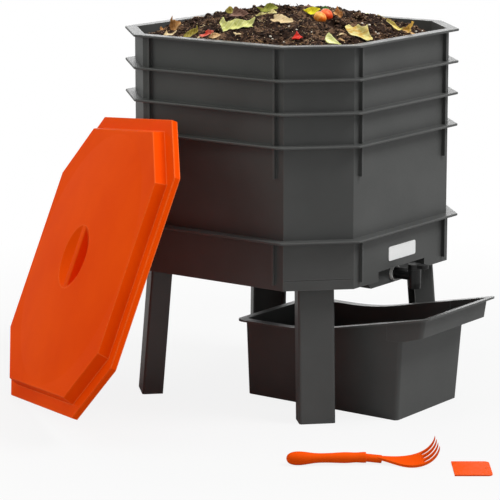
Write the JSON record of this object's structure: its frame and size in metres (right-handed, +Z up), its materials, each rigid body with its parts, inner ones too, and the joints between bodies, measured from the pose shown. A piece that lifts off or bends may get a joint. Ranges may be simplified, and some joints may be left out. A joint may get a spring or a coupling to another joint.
{
  "type": "wormery",
  "caption": "Octagonal stacking worm composter on splayed legs, with drain tap, leaning lid, catch bin, fork and scraper",
  "frame": {"origin": "on the floor under the middle of the tower", "axes": "+Z up, -Y towards the tap, +X to the right of someone who faces the tap"},
  "size_m": [0.6685, 0.8492, 0.5726],
  "materials": {
    "charcoal_plastic": "moulded polypropylene, charcoal, fine satin grain",
    "orange_plastic": "moulded polypropylene, orange, satin",
    "tool_plastic": "moulded polypropylene, bright orange, semi-gloss",
    "tap_plastic": "moulded black plastic",
    "washer_rubber": "pale grey rubber",
    "label_white": "bare white plate, semi-gloss",
    "compost": "moist crumbly compost with kitchen and garden waste"
  },
  "bodies": {
    "base": {"base_tray": "charcoal_plastic", "leg_front_left": "charcoal_plastic", "leg_front_right": "charcoal_plastic", "leg_rear_right": "charcoal_plastic", "leg_rear_left": "charcoal_plastic", "label_plate": "label_white", "tap_washer_outer": "washer_rubber", "tap_washer_inner": "washer_rubber", "tap_nut": "tap_plastic", "tap_body": "tap_plastic"},
    "tap_lever": {"tap_lever": "tap_plastic"},
    "tray_4": {"tray_4": "charcoal_plastic"},
    "tray_3": {"tray_3": "charcoal_plastic"},
    "tray_2": {"tray_2": "charcoal_plastic"},
    "tray_1": {"tray_1": "charcoal_plastic", "compost_heap": "compost"},
    "lid": {"lid": "orange_plastic"},
    "catch_bin": {"catch_bin": "charcoal_plastic"},
    "hand_fork": {"hand_fork": "tool_plastic"},
    "scraper": {"scraper": "tool_plastic"}
  },
  "joints": [
    {"name": "tap_turn", "type": "hinge", "parent": "base", "child": "tap_lever", "pos_m": [0, -0.2203, 0.2], "axis": [0, 0, 1], "range_deg": [0, 90]},
    {"name": "tray_4_lift", "type": "slide", "parent": "base", "child": "tray_4", "axis": [0, 0, 1], "range_m": [0, 0.15]},
    {"name": "tray_3_lift", "type": "slide", "parent": "tray_4", "child": "tray_3", "axis": [0, 0, 1], "range_m": [0, 0.12]},
    {"name": "tray_2_lift", "type": "slide", "parent": "tray_3", "child": "tray_2", "axis": [0, 0, 1], "range_m": [0, 0.12]},
    {"name": "tray_1_lift", "type": "slide", "parent": "tray_2", "child": "tray_1", "axis": [0, 0, 1], "range_m": [0, 0.12]},
    {"name": "lid_lift", "type": "slide", "parent": "tray_4", "child": "lid", "axis": [-0.7678, 0.5102, 0.3875], "range_m": [0, 0.3]},
    {"name": "bin_slide", "type": "slide", "parent": "base", "child": "catch_bin", "axis": [0, -1, 0], "range_m": [0, 0.3]},
    {"name": "fork_lift", "type": "slide", "parent": "base", "child": "hand_fork", "axis": [0, 0, 1], "range_m": [0, 0.1]},
    {"name": "scraper_lift", "type": "slide", "parent": "base", "child": "scraper", "axis": [0, 0, 1], "range_m": [0, 0.1]}
  ]
}
